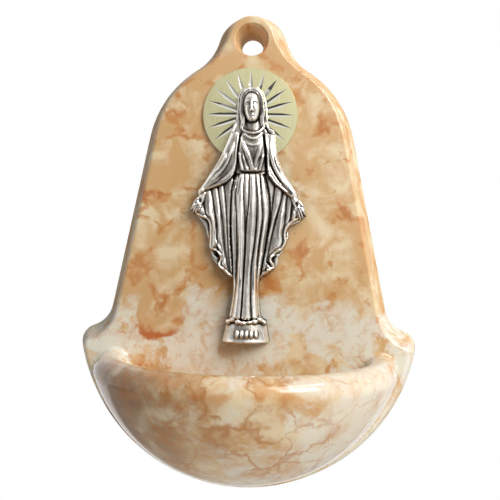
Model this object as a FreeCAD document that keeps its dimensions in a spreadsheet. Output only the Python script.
import FreeCAD, Part
import math
import os

import Sketcher

# Holy water stoup: a cast resin back plate with a half-round bowl in one piece, a thin rayed disc
# and a metal relief figure, both pinned and glued to the plate.
#
# Frame: X to the right, -Y out of the wall, +Z up. The origin is on the axis of the hanging hole,
# in the flat back face of the plate. "Drop" is a distance below that axis, and "rise" is a height
# above the underside of the figure's pedestal.

Vector = FreeCAD.Vector

# Driving sizes, in millimetres and degrees.
SIZES = {
    # back plate
    "plate_thickness": 12.5,
    "plate_draft": 18.0,
    "plate_edge_radius": 1.2,
    "lug_radius": 11.1,
    "neck_radius": 16.0,
    "shoulder_radius": 33.1,
    "shoulder_drop": 34.2,
    "flank_angle": 11.5,
    "flare_radius": 8.7,
    "ear_radius": 5.6,
    "ear_drop": 93.7,
    "lower_radius": 53.9,
    "lower_drop": 85.1,
    # hanging hole: a straight bore at the back that opens into a funnel at the front
    "hole_radius": 3.45,
    "hole_mouth_radius": 5.0,
    "hole_mouth_depth": 7.5,
    "hole_lip_radius": 0.4,
    # bowl, a quarter of a hollow ball on the plate's front face
    "bowl_radius": 46.9,
    "bowl_wall": 9.0,
    "rim_drop": 94.4,
    "bowl_root_radius": 1.2,
    # rayed disc
    "halo_radius": 14.2,
    "halo_thickness": 0.8,
    "halo_drop": 23.1,
    "halo_hole_clearance": 0.05,
    # adhesive
    "halo_film": 0.15,
    "halo_film_margin": 1.2,
    "figure_film": 0.2,
    "figure_film_width": 5.0,
    "figure_film_length": 22.0,
    # locating pins
    "pin_radius": 1.0,
    "pin_in_figure": 2.6,
    "pin_in_plate": 5.0,
    "pin_hole_clearance": 0.1,
    "pin_end_gap": 0.3,
    "lower_pin_rise": 24.0,
    # relief figure
    "figure_drop": 92.3,
    "pedestal_base_radius": 7.4,
    "pedestal_top_radius": 6.2,
    "pedestal_height": 5.6,
    "gown_overlap": 1.0,
    "gown_hem_half_width": 5.6,
    "gown_hem_depth": 5.6,
    "gown_knee_half_width": 4.4,
    "gown_knee_depth": 5.2,
    "gown_knee_rise": 20.0,
    "hip_half_width": 5.2,
    "hip_depth": 5.6,
    "hip_rise": 42.0,
    "waist_half_width": 4.1,
    "waist_depth": 4.6,
    "waist_rise": 51.3,
    "chest_half_width": 5.6,
    "chest_depth": 5.2,
    "chest_rise": 58.0,
    "shoulder_half_width": 6.4,
    "shoulder_depth": 4.0,
    "shoulder_rise": 62.6,
    "neck_half_width": 2.2,
    "neck_depth": 3.4,
    "neck_rise": 66.0,
    "head_rise": 71.0,
    "head_half_width": 3.0,
    "head_half_height": 4.9,
    "head_offset": 3.8,
    "veil_rise": 70.4,
    "veil_half_width": 4.3,
    "veil_half_height": 6.9,
    "veil_offset": 1.3,
    "mantle_depth": 3.0,
    "mantle_bevel": 1.0,
    "mantle_hem_rise": 18.5,
    "mantle_hem_half_width": 4.4,
    "mantle_lower_half_width": 9.0,
    "mantle_lower_rise": 24.5,
    "mantle_side_half_width": 11.6,
    "mantle_side_rise": 32.5,
    "hand_half_spread": 16.0,
    "hand_rise": 40.2,
    "hand_radius": 1.5,
    "arm_root_half_spread": 5.6,
    "arm_root_rise": 59.5,
    "arm_root_radius": 2.4,
    "sleeve_radius": 3.0,
    "figure_recess_clearance": 0.2,
}

doc = FreeCAD.newDocument("holy_water_stoup")
sheet = doc.addObject("Spreadsheet::Sheet", "Sizes")
for row, (alias, value) in enumerate(SIZES.items(), start=1):
    sheet.set("A%d" % row, alias)
    sheet.set("B%d" % row, str(value))
    sheet.setAlias("B%d" % row, alias)
doc.recompute()


def size(name):
    """The value of one cell of the sheet."""
    return float(sheet.get(name))


def new_body(name):
    body = doc.addObject("PartDesign::Body", name)
    body.Label = name
    return body


def origin_plane(body, role):
    return [plane for plane in body.Origin.OriginFeatures if plane.Role == role][0]


def new_sketch(body, name, role, offset="0"):
    """A sketch parallel to one of the body's own planes; offset is an expression along its normal."""
    sketch = body.newObject("Sketcher::SketchObject", name)
    sketch.AttachmentSupport = [(origin_plane(body, role), "")]
    sketch.MapMode = "FlatFace"
    sketch.setExpression("AttachmentOffset.Base.z", offset)
    return sketch


def constrain(sketch, name, expression, *arguments):
    """Add a driving dimension whose value comes from the sheet."""
    index = sketch.addConstraint(Sketcher.Constraint(*arguments))
    sketch.renameConstraint(index, name)
    sketch.setExpression("Constraints." + name, expression)


def arc(centre, radius, start, end):
    """An arc drawn anticlockwise from one angle to another, in radians."""
    circle = Part.Circle(Vector(centre.x, centre.y, 0), Vector(0, 0, 1), radius)
    return Part.ArcOfCircle(circle, start, end)


def angle_to(centre, point):
    return math.atan2(point.y - centre.y, point.x - centre.x)


def mirrored(point):
    return Vector(-point.x, point.y, 0)


def circle_sketch(body, name, role, offset, radius, rise="0"):
    """A circle on the vertical axis of a sketch plane."""
    sketch = new_sketch(body, name, role, offset)
    circle = Part.Circle(Vector(0, 0, 0), Vector(0, 0, 1), 1.0)
    sketch.addGeometry(circle, False)
    constrain(sketch, "radius", radius, "Radius", 0, 1.0)
    sketch.addConstraint(Sketcher.Constraint("PointOnObject", 0, 3, -2))
    constrain(sketch, "rise", rise, "DistanceY", -1, 1, 0, 3, 0.0)
    return sketch


def pad(body, name, sketch, length, draft=None):
    feature = body.newObject("PartDesign::Pad", name)
    feature.Profile = sketch
    feature.setExpression("Length", length)
    if draft:
        feature.setExpression("TaperAngle", draft)
    sketch.Visibility = False
    return feature


def pocket(body, name, sketch, length, reverse=False):
    """A cut along the sketch's back side, or along its normal when reverse is set."""
    feature = body.newObject("PartDesign::Pocket", name)
    feature.Profile = sketch
    feature.Reversed = reverse
    feature.setExpression("Length", length)
    sketch.Visibility = False
    return feature


# ---------------------------------------------------------------- back plate

def plate_outline(body):
    """Twelve tangent edges: lug, necks, shoulders, flanks, flares, ears and the round lower edge."""
    sketch = new_sketch(body, "plate_outline", "XZ_Plane")
    lug, neck, shoulder = size("lug_radius"), size("neck_radius"), size("shoulder_radius")
    flare, ear, lower = size("flare_radius"), size("ear_radius"), size("lower_radius")
    lug_centre = Vector(0, 0, 0)
    shoulder_centre = Vector(0, -size("shoulder_drop"), 0)
    lower_centre = Vector(0, -size("lower_drop"), 0)

    # the neck touches lug and shoulder from outside
    near, far, apart = lug + neck, shoulder + neck, size("shoulder_drop")
    fall = (near ** 2 - far ** 2 + apart ** 2) / (2 * apart)
    neck_centre = Vector(math.sqrt(near ** 2 - fall ** 2), -fall, 0)

    # the flank leaves the shoulder along its tangent, the ear touches the lower edge from inside
    slope = math.radians(size("flank_angle"))
    outward = Vector(math.cos(slope), math.sin(slope), 0)
    downward = Vector(math.sin(slope), -math.cos(slope), 0)
    flank_top = shoulder_centre + outward * shoulder
    ear_rise = size("lower_drop") - size("ear_drop")
    ear_centre = Vector(math.sqrt((lower - ear) ** 2 - ear_rise ** 2), -size("ear_drop"), 0)
    flare_line = shoulder_centre + outward * (shoulder + flare)
    to_ear = flare_line - ear_centre
    along = to_ear.dot(downward)
    run = -along - math.sqrt(along ** 2 - to_ear.dot(to_ear) + (flare + ear) ** 2)
    flare_centre = flare_line + downward * run
    flank_foot = flare_centre - outward * flare

    for side in (1, -1):
        def place(point):
            return point if side == 1 else mirrored(point)

        def side_arc(centre, radius, first, last):
            """An arc from one point to another, anticlockwise on the right-hand side."""
            ends = (place(first), place(last)) if side == 1 else (place(last), place(first))
            start = angle_to(place(centre), ends[0])
            end = angle_to(place(centre), ends[1])
            return arc(place(centre), radius, start, end + (2 * math.pi if end < start else 0))

        sketch.addGeometry(side_arc(neck_centre, neck, lug_centre, shoulder_centre), False)
        sketch.addGeometry(side_arc(shoulder_centre, shoulder, flank_top, neck_centre), False)
        sketch.addGeometry(Part.LineSegment(place(flank_foot), place(flank_top)), False)
        sketch.addGeometry(side_arc(flare_centre, flare, flank_foot, ear_centre), False)
        # both edges meet on the line through their centres
        lower_end = lower_centre + (ear_centre - lower_centre) * 2
        sketch.addGeometry(side_arc(ear_centre, ear, lower_end, flare_centre), False)
    lug_end = angle_to(lug_centre, neck_centre)
    lug_edge = sketch.addGeometry(arc(lug_centre, lug, lug_end, math.pi - lug_end), False)
    ear_end = angle_to(lower_centre, ear_centre)
    lower_arc = arc(lower_centre, lower, math.pi - ear_end, 2 * math.pi + ear_end)
    lower_edge = sketch.addGeometry(lower_arc, False)

    # edges of the right side are 0 to 4 and of the left side 5 to 9: neck, shoulder, flank, flare, ear
    joints = [
        (lug_edge, 1, 0, 1), (0, 2, 1, 2), (1, 1, 2, 2), (2, 1, 3, 1), (3, 2, 4, 2), (4, 1, lower_edge, 2),
        (lug_edge, 2, 5, 2), (5, 1, 6, 1), (6, 2, 7, 2), (7, 1, 8, 2), (8, 1, 9, 1), (9, 2, lower_edge, 1),
    ]
    for first, first_end, second, second_end in joints:
        sketch.addConstraint(Sketcher.Constraint("Tangent", first, first_end, second, second_end))
    sketch.addConstraint(Sketcher.Constraint("Coincident", lug_edge, 3, -1, 1))
    for edge in (1, lower_edge):
        sketch.addConstraint(Sketcher.Constraint("PointOnObject", edge, 3, -2))
    constrain(sketch, "lug_radius", "Sizes.lug_radius", "Radius", lug_edge, lug)
    constrain(sketch, "lower_radius", "Sizes.lower_radius", "Radius", lower_edge, lower)
    constrain(sketch, "shoulder_drop", "Sizes.shoulder_drop",
              "DistanceY", 1, 3, -1, 1, size("shoulder_drop"))
    sketch.addConstraint(Sketcher.Constraint("Coincident", 1, 3, 6, 3))
    constrain(sketch, "lower_drop", "Sizes.lower_drop",
              "DistanceY", lower_edge, 3, -1, 1, size("lower_drop"))
    for side, first in (("right", 0), ("left", 5)):
        constrain(sketch, side + "_neck", "Sizes.neck_radius", "Radius", first, neck)
        if side == "right":
            constrain(sketch, side + "_shoulder", "Sizes.shoulder_radius", "Radius", first + 1, shoulder)
        constrain(sketch, side + "_flare", "Sizes.flare_radius", "Radius", first + 3, flare)
        constrain(sketch, side + "_ear", "Sizes.ear_radius", "Radius", first + 4, ear)
        constrain(sketch, side + "_ear_drop", "Sizes.ear_drop",
                  "DistanceY", first + 4, 3, -1, 1, size("ear_drop"))
    sketch.addConstraint(Sketcher.Constraint("Equal", 1, 6))
    constrain(sketch, "right_flank", "(90 + Sizes.flank_angle) * 1 deg",
              "Angle", 2, math.radians(90) + slope)
    constrain(sketch, "left_flank", "(90 - Sizes.flank_angle) * 1 deg",
              "Angle", 7, math.radians(90) - slope)
    return sketch


def bowl_profile(body):
    """Half of the bowl's wall: two concentric arcs closed by a round rim and by the bowl's axis."""
    sketch = new_sketch(body, "bowl_profile", "XZ_Plane", "Sizes.plate_thickness")
    outer, wall = size("bowl_radius"), size("bowl_wall")
    inner, middle, cap = outer - wall, outer - wall / 2, wall / 2
    centre = Vector(0, -size("lower_drop"), 0)
    cap_drop = size("rim_drop") - size("lower_drop") + cap
    lean = -math.asin(cap_drop / middle)
    along = Vector(math.cos(lean), math.sin(lean), 0)
    cap_centre = centre + along * middle
    bottom = Vector(0, -1, 0)
    sketch.addGeometry([
        arc(centre, outer, -math.pi / 2, lean),
        arc(cap_centre, cap, lean, lean + math.pi),
        arc(centre, inner, -math.pi / 2, lean),
        Part.LineSegment(centre + bottom * inner, centre + bottom * outer),
    ], False)
    sketch.addConstraint(Sketcher.Constraint("Tangent", 0, 2, 1, 1))
    sketch.addConstraint(Sketcher.Constraint("Tangent", 1, 2, 2, 2))
    sketch.addConstraint(Sketcher.Constraint("Coincident", 2, 1, 3, 1))
    sketch.addConstraint(Sketcher.Constraint("Coincident", 3, 2, 0, 1))
    sketch.addConstraint(Sketcher.Constraint("Coincident", 0, 3, 2, 3))
    sketch.addConstraint(Sketcher.Constraint("PointOnObject", 0, 3, -2))
    sketch.addConstraint(Sketcher.Constraint("PointOnObject", 3, 1, -2))
    sketch.addConstraint(Sketcher.Constraint("PointOnObject", 3, 2, -2))
    constrain(sketch, "drop", "Sizes.lower_drop", "DistanceY", 0, 3, -1, 1, size("lower_drop"))
    constrain(sketch, "outer", "Sizes.bowl_radius", "Radius", 0, outer)
    constrain(sketch, "inner", "Sizes.bowl_radius - Sizes.bowl_wall", "Radius", 2, inner)
    constrain(sketch, "rim", "Sizes.rim_drop + Sizes.bowl_wall / 2",
              "DistanceY", 1, 3, -1, 1, size("rim_drop") + cap)
    return sketch


def edges_where(shape, test):
    return ["Edge%d" % number for number, edge in enumerate(shape.Edges, start=1) if test(edge)]


def make_stoup_body():
    body = new_body("stoup_body")
    plate = pad(body, "plate", plate_outline(body), "Sizes.plate_thickness", "-Sizes.plate_draft")
    doc.recompute()
    thickness = size("plate_thickness")

    def on_front(edge):
        return all(abs(vertex.Y + thickness) < 1e-4 for vertex in edge.Vertexes)

    front_edge = body.newObject("PartDesign::Fillet", "front_edge")
    front_edge.Base = (plate, edges_where(plate.Shape, on_front))
    front_edge.setExpression("Radius", "Sizes.plate_edge_radius")
    doc.recompute()

    profile = bowl_profile(body)
    bowl = body.newObject("PartDesign::Revolution", "bowl")
    bowl.Profile = profile
    bowl.ReferenceAxis = (profile, ["V_Axis"])
    bowl.Angle = 180
    bowl.Reversed = True
    profile.Visibility = False
    doc.recompute()

    bowl_middle = Vector(0, -thickness, -size("lower_drop"))

    def at_bowl_root(edge):
        return on_front(edge) and all(
            vertex.Z < -size("rim_drop")
            and vertex.Point.distanceToPoint(bowl_middle) < size("bowl_radius") + 0.01
            for vertex in edge.Vertexes)

    root = body.newObject("PartDesign::Fillet", "bowl_root")
    root.Base = (bowl, edges_where(bowl.Shape, at_bowl_root))
    root.setExpression("Radius", "Sizes.bowl_root_radius")
    doc.recompute()

    hole = circle_sketch(body, "hanging_hole_outline", "XZ_Plane", "0", "Sizes.hole_radius")
    pocket(body, "hanging_hole", hole, "Sizes.plate_thickness + 1", True)
    mouth_outline = circle_sketch(body, "hole_mouth_outline", "XZ_Plane", "Sizes.plate_thickness",
                                  "Sizes.hole_mouth_radius")
    mouth = pocket(body, "hole_mouth", mouth_outline, "Sizes.hole_mouth_depth")
    mouth.setExpression("TaperAngle", "-atan((Sizes.hole_mouth_radius - Sizes.hole_radius)"
                                      " / Sizes.hole_mouth_depth)")
    for name, drop in (("upper", "Sizes.halo_drop"),
                       ("lower", "(Sizes.figure_drop - Sizes.lower_pin_rise)")):
        outline = circle_sketch(body, name + "_pin_hole_outline", "XZ_Plane", "Sizes.plate_thickness",
                                "Sizes.pin_radius + Sizes.pin_hole_clearance", "-" + drop)
        last_cut = pocket(body, name + "_pin_hole", outline, "Sizes.pin_in_plate + Sizes.pin_end_gap")
    doc.recompute()

    widest = 2.1 * size("hole_mouth_radius")

    def on_mouth(edge):
        return on_front(edge) and edge.BoundBox.XLength < widest and abs(edge.BoundBox.Center.z) < 0.1

    lip = body.newObject("PartDesign::Fillet", "hanging_hole_lip")
    lip.Base = (last_cut, edges_where(last_cut.Shape, on_mouth))
    lip.setExpression("Radius", "Sizes.hole_lip_radius")
    return body


# ---------------------------------------------------------------- rayed disc and adhesive

def make_halo_disc():
    body = new_body("halo_disc")
    body.setExpression("Placement.Base.y", "-(Sizes.plate_thickness + Sizes.halo_film)")
    body.setExpression("Placement.Base.z", "-Sizes.halo_drop")
    pad(body, "disc", circle_sketch(body, "disc_outline", "XZ_Plane", "0", "Sizes.halo_radius"),
        "Sizes.halo_thickness")
    hole = circle_sketch(body, "pin_hole_outline", "XZ_Plane", "0",
                         "Sizes.pin_radius + Sizes.halo_hole_clearance")
    pocket(body, "pin_hole", hole, "Sizes.halo_thickness + 1", True)
    return body


def make_halo_adhesive():
    body = new_body("halo_adhesive")
    body.setExpression("Placement.Base.y", "-Sizes.plate_thickness")
    body.setExpression("Placement.Base.z", "-Sizes.halo_drop")
    outline = circle_sketch(body, "film_outline", "XZ_Plane", "0",
                            "Sizes.halo_radius - Sizes.halo_film_margin")
    pad(body, "film", outline, "Sizes.halo_film")
    hole = circle_sketch(body, "pin_hole_outline", "XZ_Plane", "0",
                         "Sizes.pin_radius + Sizes.pin_hole_clearance")
    pocket(body, "pin_hole", hole, "Sizes.halo_film + 1", True)
    return body


def make_figure_adhesive():
    """A round-ended bed of adhesive on the plate, around the lower pin."""
    body = new_body("figure_adhesive")
    body.setExpression("Placement.Base.y", "-Sizes.plate_thickness")
    body.setExpression("Placement.Base.z", "-(Sizes.figure_drop - Sizes.lower_pin_rise)")
    sketch = new_sketch(body, "bed_outline", "XZ_Plane")
    half_width = size("figure_film_width") / 2
    half_run = size("figure_film_length") / 2 - half_width
    top, bottom = Vector(0, half_run, 0), Vector(0, -half_run, 0)
    side = Vector(half_width, 0, 0)
    sketch.addGeometry([
        arc(top, half_width, 0, math.pi),
        Part.LineSegment(top - side, bottom - side),
        arc(bottom, half_width, math.pi, 2 * math.pi),
        Part.LineSegment(bottom + side, top + side),
    ], False)
    for first, first_end, second, second_end in ((0, 2, 1, 1), (1, 2, 2, 1), (2, 2, 3, 1), (3, 2, 0, 1)):
        sketch.addConstraint(Sketcher.Constraint("Tangent", first, first_end, second, second_end))
    sketch.addConstraint(Sketcher.Constraint("Symmetric", 0, 3, 2, 3, -1, 1))
    sketch.addConstraint(Sketcher.Constraint("PointOnObject", 0, 3, -2))
    constrain(sketch, "radius", "Sizes.figure_film_width / 2", "Radius", 0, half_width)
    constrain(sketch, "run", "Sizes.figure_film_length - Sizes.figure_film_width",
              "DistanceY", 2, 3, 0, 3, 2 * half_run)
    pad(body, "bed", sketch, "Sizes.figure_film")
    hole = circle_sketch(body, "pin_hole_outline", "XZ_Plane", "0",
                         "Sizes.pin_radius + Sizes.pin_hole_clearance")
    pocket(body, "pin_hole", hole, "Sizes.figure_film + 1", True)
    return body


def make_pin(name, drop, film):
    """A plain pin, from the bottom of its seat in the figure into its hole in the plate."""
    body = new_body(name)
    body.setExpression("Placement.Base.y", "-(Sizes.plate_thickness - Sizes.pin_in_plate)")
    body.setExpression("Placement.Base.z", "-(" + drop + ")")
    outline = circle_sketch(body, "pin_outline", "XZ_Plane", "0", "Sizes.pin_radius")
    pad(body, "pin", outline, "Sizes.pin_in_plate + " + film + " + Sizes.pin_in_figure")
    return body


# ---------------------------------------------------------------- relief figure

def level_oval(rise, half_width, half_depth):
    """A closed oval in a level plane, centred on the figure's axis in its back plane."""
    if half_width >= half_depth:
        oval = Part.Ellipse(Vector(0, 0, rise), half_width, half_depth)
    else:
        oval = Part.Ellipse(Vector(0, half_depth, rise), Vector(half_width, 0, rise), Vector(0, 0, rise))
    return Part.Wire(oval.toShape())


def oval_at(name):
    return level_oval(size(name + "_rise"), size(name + "_half_width"), size(name + "_depth"))


def ovoid(rise, depth, half_width, half_height):
    """An egg on the figure's axis, round in plan, with its middle a given depth in front of the back."""
    oval = Part.Ellipse(Vector(0, 0, 0), half_height, half_width)
    half = Part.ArcOfEllipse(oval, 0, math.pi).toShape()
    profile = Part.Face(Part.Wire([half, Part.makeLine(Vector(-half_height, 0, 0), Vector(half_height, 0, 0))]))
    egg = profile.revolve(Vector(0, 0, 0), Vector(1, 0, 0), 360)
    egg.rotate(Vector(0, 0, 0), Vector(0, 1, 0), -90)
    egg.translate(Vector(0, -depth, rise))
    return egg


def mantle_shape():
    """The cloak and wide sleeves: a flat shape spread to both hands, with bevelled edges."""
    hand_spread, hand_rise = size("hand_half_spread"), size("hand_rise")
    hand, sleeve = size("hand_radius"), size("sleeve_radius")
    root_spread, root_rise = size("arm_root_half_spread"), size("arm_root_rise")
    edge = [
        Vector(size("mantle_hem_half_width"), 0, size("mantle_hem_rise")),
        Vector(size("mantle_lower_half_width"), 0, size("mantle_lower_rise")),
        Vector(size("mantle_side_half_width"), 0, size("mantle_side_rise")),
        Vector(hand_spread - hand / 2, 0, hand_rise - hand),
        Vector(hand_spread, 0, hand_rise + hand),
        Vector((hand_spread + root_spread) / 2 + sleeve / 2, 0, (hand_rise + root_rise) / 2),
        Vector(size("shoulder_half_width"), 0, size("shoulder_rise")),
    ]
    outline = edge + [mirrored_rise(point) for point in reversed(edge)]
    middle = Vector(0, 0, (size("mantle_hem_rise") + size("shoulder_rise")) / 2)
    bevel = size("mantle_bevel")
    shrink = 1 - bevel / size("mantle_side_half_width")
    edge_depth = Vector(0, -(size("mantle_depth") - bevel), 0)
    front_depth = Vector(0, -size("mantle_depth"), 0)
    foot = Part.makePolygon(outline + outline[:1])
    slab = Part.Face(foot).extrude(edge_depth)
    front = [middle + (point - middle) * shrink + front_depth for point in outline]
    foot.translate(edge_depth)
    bevelled = Part.makeLoft([foot, Part.makePolygon(front + front[:1])], True, True)
    return slab.fuse(bevelled)


def mirrored_rise(point):
    return Vector(-point.x, point.y, point.z)


def figure_shape():
    """The whole casting in its own frame: back plane at Y = 0, underside of the pedestal at Z = 0."""
    pedestal = Part.makeCone(size("pedestal_base_radius"), size("pedestal_top_radius"),
                             size("pedestal_height"))
    hem = level_oval(size("pedestal_height") - size("gown_overlap"),
                     size("gown_hem_half_width"), size("gown_hem_depth"))
    gown = Part.makeLoft([hem] + [oval_at(name) for name in ("gown_knee", "hip", "waist")], True)
    torso = Part.makeLoft([oval_at(name) for name in ("waist", "chest", "shoulder", "neck")], True)
    neck = Part.makeCylinder(size("neck_half_width"), size("head_rise") - size("shoulder_rise"),
                             Vector(0, -size("neck_depth") / 2, size("shoulder_rise")))
    veil = ovoid(size("veil_rise"), size("veil_offset"), size("veil_half_width"),
                 size("veil_half_height"))
    head = ovoid(size("head_rise"), size("head_offset"), size("head_half_width"),
                 size("head_half_height"))
    pieces = [gown, torso, neck, veil, head, mantle_shape()]
    for side in (1, -1):
        root = Vector(side * size("arm_root_half_spread"), -size("arm_root_radius") / 2,
                      size("arm_root_rise"))
        wrist = Vector(side * (size("hand_half_spread") - size("hand_radius")),
                       -size("mantle_depth") / 2, size("hand_rise") + size("hand_radius"))
        along = wrist - root
        pieces.append(Part.makeCone(size("arm_root_radius"), size("sleeve_radius") / 2,
                                    along.Length, root, along))
        hand = Vector(side * size("hand_half_spread"), size("hand_radius") / 2 - size("mantle_depth"),
                      size("hand_rise"))
        pieces.append(Part.makeSphere(size("hand_radius"), hand))
    whole = pedestal
    for piece in pieces:
        whole = whole.fuse(piece)

    # everything behind the back plane goes, then the seat of the disc and the two pin holes
    reach = 3 * size("hand_half_spread")
    behind = Part.makeBox(2 * reach, reach, 2 * reach, Vector(-reach, 0, -reach / 4))
    disc_rise = size("figure_drop") - size("halo_drop")
    seat_depth = size("halo_film") + size("halo_thickness") - size("figure_film")
    cuts = [behind, Part.makeCylinder(size("halo_radius") + size("figure_recess_clearance"), seat_depth,
                                      Vector(0, 0, disc_rise), Vector(0, -1, 0))]
    for rise, floor in ((disc_rise, seat_depth), (size("lower_pin_rise"), 0)):
        cuts.append(Part.makeCylinder(size("pin_radius"), floor + size("pin_in_figure"),
                                      Vector(0, 0, rise), Vector(0, -1, 0)))
    for cut in cuts:
        whole = whole.cut(cut)
    return whole.removeSplitter()


def make_relief_figure():
    feature = doc.addObject("Part::Feature", "relief_figure")
    feature.Label = "relief_figure"
    feature.Shape = figure_shape()
    feature.Placement = FreeCAD.Placement(
        Vector(0, -(size("plate_thickness") + size("figure_film")), -size("figure_drop")),
        FreeCAD.Rotation())
    return feature


# ---------------------------------------------------------------- assembly and export

sub_parts = [
    make_stoup_body(),
    make_relief_figure(),
    make_halo_disc(),
    make_halo_adhesive(),
    make_figure_adhesive(),
    make_pin("upper_locating_pin", "Sizes.halo_drop", "Sizes.halo_film + Sizes.halo_thickness"),
    make_pin("lower_locating_pin", "Sizes.figure_drop - Sizes.lower_pin_rise", "Sizes.figure_film"),
]
doc.recompute()

for item in doc.Objects:
    if "Invalid" in item.State or "Error" in item.State:
        raise RuntimeError("failed: " + item.Name)
os.makedirs("parts", exist_ok=True)
for part in sub_parts:
    if part.Shape.isNull() or not part.Shape.isValid() or len(part.Shape.Solids) != 1:
        raise RuntimeError("bad shape: " + part.Label)
for part in sub_parts:
    part.Shape.exportStep("parts/" + part.Label + ".step")
    box = part.Shape.BoundBox
    print("%-20s volume %10.2f  x %.2f..%.2f  y %.2f..%.2f  z %.2f..%.2f" % (
        part.Label, part.Shape.Volume, box.XMin, box.XMax, box.YMin, box.YMax, box.ZMin, box.ZMax))
